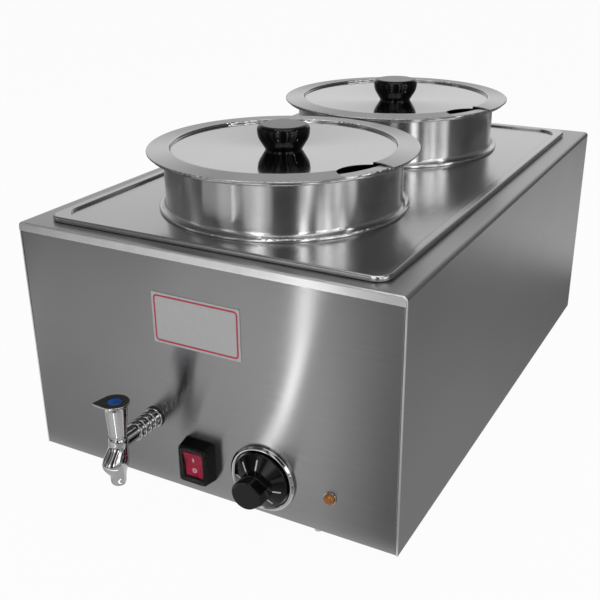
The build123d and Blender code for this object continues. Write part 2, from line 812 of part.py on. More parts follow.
with BuildPart() as tap_bonnet:
    bonnet_corners = [
        (spindle_radius + spindle_running, tap_top - bonnet_depth, 0),
        (bonnet_radius, tap_top - bonnet_depth, 0),
        (bonnet_radius, tap_top, 0),
        (bonnet_flange_radius, tap_top, 0),
        (bonnet_flange_radius, tap_top + bonnet_flange, bonnet_flange / 3),
        (spindle_radius + spindle_running, tap_top + bonnet_flange, 0),
    ]
    turned(bonnet_corners, upright_section(tap_x, tap_y), upright_axis(tap_x, tap_y))
save(tap_bonnet, "tap_bonnet")

plug_bottom = tap_top - chamber_depth + plug_gap
plug_top = tap_top - bonnet_depth - plug_gap
spindle_top = handle_roof - handle_screw_sink - handle_screw_head_height
with BuildPart() as tap_spindle:
    spindle_corners = [
        (0, plug_bottom, 0),
        (plug_radius, plug_bottom, 0),
        (plug_radius, plug_top, 0),
        (spindle_radius, plug_top, 0),
        (spindle_radius, spindle_top, 0),
        (0, spindle_top, 0),
    ]
    turned(spindle_corners, upright_section(tap_x, tap_y), upright_axis(tap_x, tap_y))
    port_plane = Plane(
        origin=(tap_x - plug_radius, tap_y, (plug_bottom + plug_top) / 2), x_dir=(0, 1, 0), z_dir=(-1, 0, 0)
    )
    drilled(port_plane, plug_port, 2 * plug_radius)
    screw_bore = handle_screw_radius + handle_screw_clearance
    drilled(Plane.XY.offset(spindle_top), screw_bore, handle_screw_length, [(tap_x, tap_y)])
save(tap_spindle, "tap_spindle")


def along_lever(reach):
    """Point on the lever's line, from the tap's axis towards the tip."""
    return tap_x + reach * cos(radians(handle_angle)), tap_y + reach * sin(radians(handle_angle))


def round_outline(height, radius, reach):
    with BuildSketch(Plane.XY.offset(height)) as outline:
        with Locations(along_lever(reach)):
            Circle(radius)
    return outline.sketch


def lever_outline(height, radius, reach):
    """Drop-shaped outline of the handle's head."""
    with BuildSketch(Plane.XY.offset(height)) as outline:
        with Locations((tap_x, tap_y)):
            Circle(radius)
        with Locations(along_lever(reach - handle_tip_round)):
            Circle(handle_tip_round)
        make_hull(outline.edges())
    return outline.sketch


flare_top = handle_roof - handle_top
neck_reach = handle_neck_radius + handle_tip_round / 3
neck_outline = lever_outline(flare_top - handle_flare, handle_neck_radius, neck_reach)
head_outline = lever_outline(flare_top, handle_head_radius, handle_tip)
stem_foot = round_outline(handle_bottom, handle_foot_radius, 0)
stem_top = round_outline(flare_top, handle_stem_radius, -handle_set_back)

with BuildPart() as tap_handle:
    loft([neck_outline, head_outline], ruled=True)
    loft([stem_foot, stem_top], ruled=True)
    extrude(head_outline, amount=handle_top)
    fillet(tap_handle.faces().sort_by(Axis.Z)[-1].edges(), handle_top / 4)
    drilled(Plane.XY.offset(handle_roof), cap_radius + cap_clearance, cap_height, [(tap_x, tap_y)])
    head_bore = handle_screw_head_radius + handle_screw_clearance
    drilled(Plane.XY.offset(handle_roof), head_bore, handle_height, [(tap_x, tap_y)])
    with Locations((tap_x, tap_y, handle_bottom)):
        socket_bore = spindle_radius + spindle_fit
        Cylinder(socket_bore, spindle_top - handle_bottom, align=low, mode=Mode.SUBTRACT)
save(tap_handle, "tap_handle")

with BuildPart() as tap_handle_screw:
    with Locations((tap_x, tap_y, spindle_top)):
        Cylinder(handle_screw_head_radius, handle_screw_head_height, align=low)
        Cylinder(handle_screw_radius, handle_screw_length - screw_clearance, align=high)
save(tap_handle_screw, "tap_handle_screw")

with BuildPart() as tap_cap:
    with Locations((tap_x, tap_y, handle_roof - cap_height)):
        Cylinder(cap_radius, cap_height, align=low)
    fillet(tap_cap.faces().sort_by(Axis.Z)[-1].edges(), cap_height / 3)
save(tap_cap, "tap_cap")

# Rocker switch
pocket_width = rocker_width + 2 * rocker_gap
pocket_tall = rocker_tall + 2 * rocker_gap
face_width = switch_width - 2 * switch_face_inset
face_tall = switch_tall - 2 * switch_face_inset
pivot_plane = Plane(
    origin=(switch_x, front_face - rocker_pivot, control_z),
    x_dir=(0, -sin(radians(rocker_tilt)), cos(radians(rocker_tilt))),
    z_dir=(1, 0, 0),
)

with BuildPart() as switch_housing:
    with BuildSketch(panel_plane(switch_x, control_z)):
        RectangleRounded(switch_width, switch_tall, switch_corner)
    with BuildSketch(panel_plane(switch_x, control_z, switch_depth)):
        RectangleRounded(face_width, face_tall, switch_corner)
    loft(ruled=True)
    with BuildSketch(panel_plane(switch_x, control_z)):
        Rectangle(switch_body_width, switch_body_tall)
    extrude(amount=-switch_body_depth)
    with BuildSketch(panel_plane(switch_x, control_z, -sheet)):
        Rectangle(switch_body_width + 2 * switch_ear, switch_body_tall / 3)
    extrude(amount=-switch_ear * 2)
    with BuildSketch(panel_plane(switch_x, control_z, switch_depth)):
        Rectangle(pocket_width, pocket_tall)
    extrude(amount=-switch_depth - switch_pocket, mode=Mode.SUBTRACT)
    with Locations((switch_x, front_face - rocker_pivot, control_z)):
        pin_span = rocker_width + 2 * (rocker_gap + rocker_pin_length)
        Cylinder(rocker_pin_radius + shaft_running, pin_span, rotation=(0, 90, 0), mode=Mode.SUBTRACT)
save(switch_housing, "switch_housing")

with BuildPart() as switch_rocker:
    half = rocker_tall / 2
    root = rocker_root_tall / 2
    with BuildSketch(pivot_plane):
        with BuildLine():
            Polyline(
                (-half, rocker_skirt),
                (-half, rocker_end),
                (0, rocker_middle),
                (half, rocker_end),
                (half, rocker_skirt),
                (root, -rocker_root),
                (-root, -rocker_root),
                close=True,
            )
        make_face()
    extrude(amount=rocker_width / 2, both=True)
    with Locations((switch_x, front_face - rocker_pivot, control_z)):
        stub_span = rocker_width + 2 * (rocker_gap + rocker_pin_length - screw_clearance)
        Cylinder(rocker_pin_radius, stub_span, rotation=(0, 90, 0))
save(switch_rocker, "switch_rocker")

with BuildPart() as switch_cover:
    cover_width = face_width - 2 * cap_inset
    cover_tall = face_tall - 2 * cap_inset
    with BuildSketch(panel_plane(switch_x, control_z, switch_depth)):
        RectangleRounded(cover_width, cover_tall, cap_corner)
    extrude(amount=cap_rise)
    fillet(switch_cover.faces().sort_by(Axis.Y)[0].edges(), cap_corner / 2)
    with BuildSketch(panel_plane(switch_x, control_z, switch_depth)):
        RectangleRounded(cover_width - 2 * cap_wall, cover_tall - 2 * cap_wall, cap_corner - cap_wall)
    extrude(amount=cap_rise - cap_wall, mode=Mode.SUBTRACT)
save(switch_cover, "switch_cover")

with BuildPart() as switch_terminals:
    with BuildSketch(panel_plane(switch_x, control_z, -switch_body_depth)):
        with GridLocations(blade_pitch_x, blade_pitch_z, 2, 2):
            Rectangle(blade_thickness, blade_width)
    extrude(amount=-blade_length)
save(switch_terminals, "switch_terminals")

# Thermostat
bezel_inner = bezel_radius - bezel_band
with BuildPart() as dial_bezel:
    bezel_corners = [
        (bezel_inner, 0, 0),
        (bezel_radius, 0, 0),
        (bezel_radius, bezel_height / 2, slight_round * bezel_height),
        (bezel_inner + bezel_band / 2, bezel_height, soft_round * bezel_band),
        (bezel_inner, bezel_height - bezel_drop, slight_round * bezel_drop),
    ]
    turned(bezel_corners, panel_section(dial_x, control_z), panel_axis(dial_x, control_z))
save(dial_bezel, "dial_bezel")

grip_start = dial_gap + dial_crown
with BuildPart() as thermostat_dial:
    dial_corners = [
        (0, dial_gap, 0),
        (dial_radius, dial_gap, 0),
        (dial_radius, dial_gap + dial_rim, soft_round * dial_rim),
        (grip_radius, grip_start, slight_round * dial_crown),
        (0, grip_start, 0),
    ]
    turned(dial_corners, panel_section(dial_x, control_z), panel_axis(dial_x, control_z))
    with BuildSketch(panel_plane(dial_x, control_z, grip_start - dial_rim)) as grip_outline:
        Circle(grip_radius)
        nose_y = grip_nose_width / 2 - grip_nose_round
        with Locations((grip_nose - grip_nose_round, nose_y), (grip_nose - grip_nose_round, -nose_y)):
            Circle(grip_nose_round)
        make_hull(grip_outline.edges())
    extrude(amount=grip_length + dial_rim)
    fillet(thermostat_dial.faces().sort_by(Axis.Y)[0].edges(), grip_round)
    with BuildSketch(panel_plane(dial_x, control_z, dial_gap)):
        Circle(shaft_radius + shaft_running)
    extrude(amount=shaft_reach - dial_gap, mode=Mode.SUBTRACT)
save(thermostat_dial, "thermostat_dial")

shaft_root = thermostat_depth / 2
with BuildPart() as thermostat_shaft:
    with BuildSketch(panel_plane(dial_x, control_z, shaft_reach)):
        Circle(shaft_radius)
    extrude(amount=-shaft_reach - sheet - shaft_root)
save(thermostat_shaft, "thermostat_shaft")

with BuildPart() as thermostat_body:
    with BuildSketch(panel_plane(dial_x, control_z, -sheet)):
        RectangleRounded(thermostat_width, thermostat_width, thermostat_round)
    extrude(amount=-thermostat_depth)
    with BuildSketch(panel_plane(dial_x, control_z, -sheet)):
        Circle(bush_radius)
    extrude(amount=sheet + bush_rise)
    bush_bore = shaft_radius + shaft_running
    drilled(panel_plane(dial_x, control_z, bush_rise), bush_bore, bush_rise + sheet + shaft_root)
    hold = thermostat_screw_length + screw_clearance
    drilled(panel_plane(dial_x, control_z), thermostat_screw_radius + contact_gap, hold, screw_places)
save(thermostat_body, "thermostat_body")

with BuildPart() as thermostat_screws:
    with BuildSketch(panel_plane(dial_x, control_z)):
        with Locations(*screw_places):
            Circle(thermostat_screw_head_radius)
    extrude(amount=thermostat_screw_head_height)
    with BuildSketch(panel_plane(dial_x, control_z)):
        with Locations(*screw_places):
            Circle(thermostat_screw_radius)
    extrude(amount=-thermostat_screw_length)
save(thermostat_screws, "thermostat_screws")

thermostat_back = panel_inside + thermostat_depth
bulb_x = well_width / 2 - element_side / 2
bulb_z = well_base - contact_gap - bulb_radius
bulb_front = well_front + element_front
capillary_z = control_z + thermostat_width / 4
capillary_x = dial_x + thermostat_width / 4
capillary_run = (bulb_front - thermostat_back) / 3

with BuildPart() as thermostat_capillary:
    tube(
        [
            (capillary_x, thermostat_back, capillary_z),
            (capillary_x, thermostat_back + capillary_run, capillary_z),
            (bulb_x, bulb_front - capillary_run, bulb_z),
            (bulb_x, bulb_front, bulb_z),
        ],
        capillary_radius,
        capillary_bend,
    )
    with Locations((bulb_x, bulb_front, bulb_z)):
        Cylinder(bulb_radius, bulb_length, rotation=(-90, 0, 0), align=low)
save(thermostat_capillary, "thermostat_capillary")

clip_height = contact_gap + 2 * bulb_radius + clip_wall
with BuildPart() as bulb_clips:
    clip_places = (bulb_front + clip_inset, bulb_front + bulb_length - clip_inset)
    with Locations(*[(bulb_x, y, well_base) for y in clip_places]):
        Box(clip_width, clip_length, clip_height, align=high)
    with Locations((bulb_x, bulb_front, bulb_z)):
        bulb_bore = bulb_radius + contact_gap / 2
        Cylinder(bulb_bore, bulb_length, rotation=(-90, 0, 0), align=low, mode=Mode.SUBTRACT)
save(bulb_clips, "bulb_clips")

# Pilot lamp
with BuildPart() as pilot_body:
    lamp_corners = [
        (0, -sheet - lamp_barrel_length, 0),
        (lamp_barrel_radius, -sheet - lamp_barrel_length, 0),
        (lamp_barrel_radius, 0, 0),
        (lamp_flange_radius, 0, 0),
        (lamp_flange_radius, lamp_flange, full_round * lamp_flange),
        (0, lamp_flange, 0),
    ]
    turned(lamp_corners, panel_section(lamp_x, control_z), panel_axis(lamp_x, control_z))
save(pilot_body, "pilot_body")

with BuildPart() as pilot_lens:
    lens_corners = [
        (0, lamp_flange, 0),
        (lamp_radius, lamp_flange, 0),
        (lamp_radius, lamp_flange + lamp_dome, domed_round * lamp_dome),
        (0, lamp_flange + lamp_dome, 0),
    ]
    turned(lens_corners, panel_section(lamp_x, control_z), panel_axis(lamp_x, control_z))
save(pilot_lens, "pilot_lens")

with BuildPart() as pilot_nut:
    ring_plane = panel_plane(lamp_x, control_z, -sheet - lamp_nut_height)
    hexagon_nut(ring_plane, lamp_nut_radius, lamp_barrel_radius + contact_gap / 2, lamp_nut_height)
save(pilot_nut, "pilot_nut")

# Label plate, bare
with BuildPart() as label_plate:
    with BuildSketch(panel_plane(0, label_z)):
        RectangleRounded(label_width, label_height, label_corner)
    extrude(amount=label_thickness)
save(label_plate, "label_plate")

# Heating element under the well's floor
element_x = well_width / 2 - element_side
element_start = well_front + element_front
element_end = plate_y + well_length / 2 - element_rear
element_z = well_base - contact_gap - element_radius
element_mid = (element_start + element_end) / 2
spreader_top = element_z - element_radius - contact_gap
stud_bottom = spreader_top - spreader_sheet - stud_tail

with BuildPart() as heating_element:
    tube(
        [
            (element_x, element_start, element_z),
            (element_x, element_end, element_z),
            (-element_x, element_end, element_z),
            (-element_x, element_start, element_z),
        ],
        element_radius,
        element_bend,
    )
save(heating_element, "heating_element")

with BuildPart() as element_pins:
    with Locations(*[(side * element_x, element_start, element_z) for side in (-1, 1)]):
        Cylinder(pin_radius, pin_length, rotation=(90, 0, 0), align=low)
save(element_pins, "element_pins")

with BuildPart() as heat_spreader:
    with BuildSketch(Plane.XY.offset(spreader_top)):
        with Locations((0, element_mid)):
            RectangleRounded(spreader_width, spreader_length, spreader_corner)
        with Locations((0, element_mid)):
            with GridLocations(stud_span_x, stud_span_y, 2, 2):
                Circle(stud_radius + screw_clearance, mode=Mode.SUBTRACT)
    extrude(amount=-spreader_sheet)
save(heat_spreader, "heat_spreader")

stud_places = [
    (side * stud_span_x / 2, element_mid + end * stud_span_y / 2) for side in (-1, 1) for end in (-1, 1)
]
with BuildPart() as heater_studs:
    with Locations(*[(x, y, well_base) for x, y in stud_places]):
        Cylinder(stud_radius, well_base - stud_bottom, align=high)
save(heater_studs, "heater_studs")

with BuildPart() as heater_nuts:
    nut_level = Plane.XY.offset(spreader_top - spreader_sheet - stud_nut_height)
    hexagon_nut(nut_level, stud_nut_radius, stud_radius + contact_gap / 2, stud_nut_height, stud_places)
save(heater_nuts, "heater_nuts")

with BuildPart() as overheat_cutout:
    with Locations((cutout_x, well_front + cutout_front, well_base)):
        Cylinder(cutout_radius, cutout_height, align=high)
        Box(2 * cutout_ear, cutout_radius, cutout_ear_sheet, align=high)
save(overheat_cutout, "overheat_cutout")

# Mains connection at the back
with BuildPart() as cord_gland:
    with BuildSketch(gland_plane):
        RegularPolygon(gland_hex_radius, 6)
    extrude(amount=gland_hex)
    with BuildSketch(gland_plane.offset(gland_hex)):
        Circle(gland_dome_radius)
    extrude(amount=gland_dome)
    fillet(cord_gland.faces().sort_by(Axis.Y)[-1].edges(), gland_dome_round)
    with BuildSketch(gland_plane):
        Circle(gland_thread_radius)
    extrude(amount=-sheet - gland_tail)
    gland_reach = gland_hex + gland_dome
    drilled(gland_plane.offset(gland_reach), gland_bore, gland_reach + sheet + gland_tail)
save(cord_gland, "cord_gland")

with BuildPart() as gland_nut:
    inner_face = gland_plane.offset(-sheet - gland_nut_height)
    hexagon_nut(inner_face, gland_nut_radius, gland_thread_radius + contact_gap / 2, gland_nut_height)
save(gland_nut, "gland_nut")

block_y = rear_face - block_setback
first_pole = gland_x - (block_poles - 1) / 2 * block_pitch
block_places = [(first_pole + pole * block_pitch, block_y) for pole in range(block_poles)]
block_top = body_bottom + block_height
with BuildPart() as terminal_block:
    with Locations((gland_x, block_y, body_bottom)):
        Box(block_width, block_depth, block_height, align=low)
    fillet(terminal_block.edges().filter_by(Axis.Z), block_round)
    drilled(Plane.XY.offset(block_top), block_well_radius, block_well_depth, block_places)
save(terminal_block, "terminal_block")

with BuildPart() as terminal_screws:
    with Locations(*[(x, y, block_top - block_well_depth) for x, y in block_places]):
        Cylinder(block_screw_radius, block_screw_height, align=low)
    with Locations(*[(x, y, block_top - block_well_depth + block_screw_height) for x, y in block_places]):
        Box(2 * block_screw_radius, block_slot_width, block_slot_depth, align=high, mode=Mode.SUBTRACT)
save(terminal_screws, "terminal_screws")

earth_place = (gland_x + earth_offset, rear_face - earth_setback)
with BuildPart() as earth_stud:
    with Locations((*earth_place, body_bottom)):
        Cylinder(earth_radius, earth_height, align=low)
save(earth_stud, "earth_stud")

with BuildPart() as earth_nut:
    earth_level = Plane.XY.offset(body_bottom + earth_wire_gap)
    earth_bore = earth_radius + contact_gap / 2
    hexagon_nut(earth_level, earth_nut_radius, earth_bore, earth_nut_height, [earth_place])
save(earth_nut, "earth_nut")

# Inner wiring: from the terminal block to the switch, then thermostat, lamp and element
blade_end = front_face + switch_body_depth + blade_length
blade_high = control_z + blade_pitch_z / 2
blade_low = control_z - blade_pitch_z / 2
blade_right = switch_x + blade_pitch_x / 2
blade_left = switch_x - blade_pitch_x / 2
block_front = block_y - block_depth / 2
wire_level = body_bottom + wire_lift
neutral_x, live_x, earth_x = [x for x, _ in block_places]
pin_end = element_start - pin_length
quarter = thermostat_width / 4
lamp_back = front_face + sheet + lamp_barrel_length
lamp_side = lamp_barrel_radius / 2


def feed(x, blade_x):
    """From a pole of the terminal block to an upper blade of the switch."""
    return [
        (x, block_front, wire_level),
        (x, block_front - wire_run, wire_level),
        (blade_x, blade_end + 2 * wire_run, blade_high),
        (blade_x, blade_end, blade_high),
    ]


def supply(start_x, start_y, start_z, side):
    """From a control to the end of the heating element on one side."""
    return [
        (start_x, start_y, start_z),
        (start_x, start_y + wire_run, start_z),
        (side * element_x, pin_end - wire_climb_start, start_z),
        (side * element_x, pin_end - wire_climb_end, element_z),
        (side * element_x, pin_end, element_z),
    ]


routes = [
    feed(live_x, blade_right),
    feed(neutral_x, blade_left),
    supply(blade_left, blade_end, blade_low - wire_spread, -1),
    supply(dial_x + quarter, thermostat_back, control_z - quarter, 1),
    [
        (blade_right, blade_end, blade_low),
        (blade_right, blade_end + wire_run, blade_low),
        (dial_x - quarter, blade_end + wire_run, blade_low),
        (dial_x - quarter, thermostat_back, blade_low),
    ],
    [
        (lamp_x - lamp_side, lamp_back, control_z),
        (lamp_x - lamp_side, lamp_back + wire_run, control_z),
        (dial_x + quarter, lamp_back + wire_run, control_z),
        (dial_x + quarter, thermostat_back, control_z),
    ],
    [
        (lamp_x + lamp_side, lamp_back, control_z),
        (lamp_x + lamp_side, lamp_back + lamp_wire_run, control_z),
        (blade_left, lamp_back + lamp_wire_run, blade_low + wire_spread),
        (blade_left, blade_end, blade_low + wire_spread),
    ],
]
eye_z = body_bottom + earth_wire_gap / 2

with BuildPart() as wiring:
    for route in routes:
        tube(route, wire_radius, wire_bend)
    tube(
        [
            (earth_x, block_front, wire_level),
            (earth_x, block_front - wire_run, wire_level),
            (earth_place[0], block_front - wire_run, eye_z),
            (earth_place[0], earth_place[1] - eye_radius / 2 - earth_radius / 2, eye_z),
        ],
        wire_radius,
        wire_bend,
    )
    with Locations((*earth_place, body_bottom)):
        Cylinder(eye_radius, earth_wire_gap, align=low)
        Cylinder(earth_radius + contact_gap, earth_wire_gap, align=low, mode=Mode.SUBTRACT)
save(wiring, "wiring")
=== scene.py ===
import math
import bmesh
import bpy
from mathutils import Matrix, Vector


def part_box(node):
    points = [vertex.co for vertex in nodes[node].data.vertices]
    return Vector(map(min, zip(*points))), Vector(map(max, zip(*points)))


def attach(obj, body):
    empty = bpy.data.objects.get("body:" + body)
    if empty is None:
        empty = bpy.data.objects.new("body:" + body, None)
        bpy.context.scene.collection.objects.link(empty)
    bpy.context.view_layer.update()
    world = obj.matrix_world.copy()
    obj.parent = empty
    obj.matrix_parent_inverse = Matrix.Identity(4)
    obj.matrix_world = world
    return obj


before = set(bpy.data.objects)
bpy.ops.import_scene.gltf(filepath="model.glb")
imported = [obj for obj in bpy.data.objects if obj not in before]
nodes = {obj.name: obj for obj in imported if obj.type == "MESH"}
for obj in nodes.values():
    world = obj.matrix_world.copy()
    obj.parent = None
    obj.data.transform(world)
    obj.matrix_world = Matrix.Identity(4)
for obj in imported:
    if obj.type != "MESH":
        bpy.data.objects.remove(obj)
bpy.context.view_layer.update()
scene = bpy.context.scene


def boxMiddle(node):
    low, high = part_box(node)
    return (low + high) / 2


def addObject(name, data):
    made = bpy.data.objects.new(name, data)
    scene.collection.objects.link(made)
    return made


# small helpers for node trees
def put(tree, kind, inputs=None, **settings):
    node = tree.nodes.new(kind)
    for key, value in settings.items():
        setattr(node, key, value)
    for key, value in (inputs or {}).items():
        if isinstance(value, bpy.types.NodeSocket):
            tree.links.new(value, node.inputs[key])
        else:
            node.inputs[key].default_value = value
    return node


def calc(tree, operation, *values):
    node = put(tree, "ShaderNodeMath", dict(enumerate(values)), operation=operation)
    return node.outputs[0]


def vectorCalc(tree, operation, *values):
    node = put(tree, "ShaderNodeVectorMath", dict(enumerate(values)), operation=operation)
    return node.outputs["Value" if operation == "LENGTH" else "Vector"]


def split(tree, vector):
    return put(tree, "ShaderNodeSeparateXYZ", {0: vector}).outputs


def join(tree, **axes):
    return put(tree, "ShaderNodeCombineXYZ", axes).outputs[0]


def remap(tree, value, low, high, start=0.0, end=1.0):
    inputs = {"Value": value, "From Min": low, "From Max": high, "To Min": start, "To Max": end}
    return put(tree, "ShaderNodeMapRange", inputs).outputs["Result"]


def blendColours(tree, factor, first, second):
    inputs = {0: factor, 6: first, 7: second}  # the mix node's own numbers for its colour sockets
    return put(tree, "ShaderNodeMix", inputs, data_type="RGBA").outputs[2]


def feed(tree, shader, **sources):
    for key, source in sources.items():
        tree.links.new(source, shader.inputs[key.replace("_", " ")])


# what the finishes share
toneRange = (0.3, 0.7)  # where a noise has most of its values
grainRange = (0.25, 0.75)  # the same for roughness, a little wider


def grey(level, warmth=0.0):
    return (level * (1 + warmth), level, level * (1 - warmth), 1.0)


def newFinish(name, metallic=0.0):
    material = bpy.data.materials.new(name)
    material.use_nodes = True
    tree = material.node_tree
    shader = tree.nodes["Principled BSDF"]
    shader.inputs["Metallic"].default_value = metallic
    return material, tree, shader


def objectPlace(tree):
    return put(tree, "ShaderNodeTexCoord").outputs["Object"]


def noise(tree, place, scale, detail=3.0, roughness=0.55):
    inputs = {"Vector": place, "Scale": scale, "Detail": detail, "Roughness": roughness}
    return put(tree, "ShaderNodeTexNoise", inputs).outputs["Fac"]


def bump(tree, height, strength, distance):
    inputs = {"Height": height, "Strength": strength, "Distance": distance}
    return put(tree, "ShaderNodeBump", inputs).outputs["Normal"]


def mottle(tree, first, second, share):  # two patterns as one tone from 0 to 1
    firstPart = calc(tree, "MULTIPLY", first, share)
    secondPart = calc(tree, "MULTIPLY", second, 1 - share)
    return remap(tree, calc(tree, "ADD", firstPart, secondPart), *toneRange)


def tint(tree, tone, look):
    return blendColours(tree, tone, look["dark"], look["light"])


def grainRough(tree, pattern, look):
    return remap(tree, pattern, *grainRange, *look["roughness"])


def brush(tree, shader, amount, grainWay):  # the highlight stretches across the grain
    faceNormal = put(tree, "ShaderNodeNewGeometry").outputs["Normal"]
    across = vectorCalc(tree, "CROSS_PRODUCT", faceNormal, grainWay)
    shader.inputs["Anisotropic"].default_value = amount
    feed(tree, shader, Tangent=vectorCalc(tree, "NORMALIZE", across))


finishes = {}  # by the slot that the CAD names
ownFinish = {}  # by node, where a piece has its own


# bright or dull metal with a fine mottle
def mottledMetal(name, look):
    material, tree, shader = newFinish(name, metallic=1.0)
    place = objectPlace(tree)
    fine = noise(tree, place, look["fine"], detail=4.0)
    wide = noise(tree, place, look["wide"], detail=2.0)
    colour = tint(tree, mottle(tree, fine, wide, share=0.4), look)
    feed(tree, shader, Base_Color=colour, Roughness=grainRough(tree, fine, look))
    feed(tree, shader, Normal=bump(tree, fine, look["bump"], distance=0.00003))
    return material


metals = {
    "chrome": {
        "dark": grey(0.36), "light": grey(0.43),
        "roughness": (0.04, 0.07), "fine": 700.0, "wide": 60.0, "bump": 0.03,
    },
    "zinc_steel": {
        "dark": grey(0.42, 0.02), "light": grey(0.58, 0.03),
        "roughness": (0.28, 0.42), "fine": 900.0, "wide": 120.0, "bump": 0.15,
    },
    "brass": {
        "dark": (0.40, 0.27, 0.10, 1), "light": (0.62, 0.45, 0.18, 1),
        "roughness": (0.24, 0.40), "fine": 600.0, "wide": 70.0, "bump": 0.12,
    },
    "element_steel": {
        "dark": grey(0.10, 0.06), "light": grey(0.22, 0.08),
        "roughness": (0.42, 0.60), "fine": 500.0, "wide": 40.0, "bump": 0.25,
    },
    "aluminium": {
        "dark": grey(0.55), "light": grey(0.68),
        "roughness": (0.34, 0.46), "fine": 700.0, "wide": 30.0, "bump": 0.12,
    },
    "copper": {
        "dark": (0.50, 0.20, 0.11, 1), "light": (0.74, 0.36, 0.22, 1),
        "roughness": (0.22, 0.36), "fine": 600.0, "wide": 50.0, "bump": 0.12,
    },
}
for slot, look in metals.items():
    finishes[slot] = mottledMetal(slot, look)


# moulded plastic or rubber with a fine skin
def moulded(name, look):
    material, tree, shader = newFinish(name)
    place = objectPlace(tree)
    skin = noise(tree, place, look["skin"], detail=4.0, roughness=0.6)
    cloud = noise(tree, place, look["cloud"], detail=2.0)
    colour = tint(tree, remap(tree, cloud, *toneRange), look)
    feed(tree, shader, Base_Color=colour, Roughness=grainRough(tree, skin, look))
    feed(tree, shader, Normal=bump(tree, skin, look["bump"], distance=0.00004))
    for key, value in look.get("sockets", {}).items():
        shader.inputs[key].default_value = value
    return material


plastics = {
    "black_gloss": {  # lid knobs, dial and switch housing
        "dark": grey(0.002), "light": grey(0.004),
        "roughness": (0.04, 0.07), "skin": 700.0, "cloud": 40.0, "bump": 0.03,
        "sockets": {"IOR": 1.3},
    },
    "black_matte": {
        "dark": grey(0.014), "light": grey(0.026),
        "roughness": (0.42, 0.58), "skin": 900.0, "cloud": 60.0, "bump": 0.25,
    },
    "red_plastic": {  # rocker
        "dark": (0.26, 0.004, 0.028, 1), "light": (0.38, 0.006, 0.044, 1),
        "roughness": (0.16, 0.24), "skin": 700.0, "cloud": 90.0, "bump": 0.06,
        "sockets": {"IOR": 1.2},
    },
    "clear_plastic": {  # cap over the rocker
        "dark": grey(0.92), "light": grey(0.97),
        "roughness": (0.03, 0.08), "skin": 500.0, "cloud": 60.0, "bump": 0.03,
        "sockets": {"Transmission Weight": 1.0, "IOR": 1.12},
    },
    "amber_lens": {  # pilot lamp
        "dark": (0.42, 0.13, 0.012, 1), "light": (0.60, 0.22, 0.03, 1),
        "roughness": (0.08, 0.16), "skin": 600.0, "cloud": 200.0, "bump": 0.05,
        "sockets": {"Transmission Weight": 0.35, "IOR": 1.46},
    },
    "blue_plastic": {  # cap in the tap handle
        "dark": (0.008, 0.055, 0.23, 1), "light": (0.015, 0.09, 0.36, 1),
        "roughness": (0.20, 0.32), "skin": 800.0, "cloud": 150.0, "bump": 0.08,
    },
    "rubber": {
        "dark": grey(0.016), "light": grey(0.030),
        "roughness": (0.62, 0.80), "skin": 1100.0, "cloud": 80.0, "bump": 0.35,
    },
    "cream_plastic": {
        "dark": (0.62, 0.56, 0.42, 1), "light": (0.72, 0.66, 0.52, 1),
        "roughness": (0.32, 0.46), "skin": 900.0, "cloud": 60.0, "bump": 0.12,
    },
    "wire_sleeve": {
        "dark": (0.55, 0.52, 0.46, 1), "light": (0.70, 0.67, 0.60, 1),
        "roughness": (0.48, 0.62), "skin": 1500.0, "cloud": 90.0, "bump": 0.30,
    },
}
for slot, look in plastics.items():
    finishes[slot] = moulded(slot, look)


# zinc flowers of hot-dipped sheet
def zincFlowers(name, look):
    material, tree, shader = newFinish(name, metallic=1.0)
    place = objectPlace(tree)
    drift = put(tree, "ShaderNodeTexNoise", {"Vector": place, "Scale": look["driftScale"]}).outputs["Color"]
    push = vectorCalc(tree, "MULTIPLY", drift, (look["drift"], look["drift"], look["drift"]))
    warped = vectorCalc(tree, "ADD", place, push)
    flowers = put(tree, "ShaderNodeTexVoronoi", {"Vector": warped, "Scale": look["flower"]}).outputs["Color"]
    tone = put(tree, "ShaderNodeSeparateColor", {0: flowers}).outputs[0]
    rough = remap(tree, tone, 0.0, 1.0, *look["roughness"])
    feed(tree, shader, Base_Color=tint(tree, tone, look), Roughness=rough)
    skin = noise(tree, place, look["skin"])
    feed(tree, shader, Normal=bump(tree, skin, look["bump"], distance=0.00003))
    return material


galvanisedSheet = {
    "dark": grey(0.36), "light": grey(0.56), "roughness": (0.34, 0.50), "flower": 90.0,
    "driftScale": 60.0, "drift": 0.004, "skin": 900.0, "bump": 0.10,
}
finishes["galvanised_steel"] = zincFlowers("galvanisedSteel", galvanisedSheet)


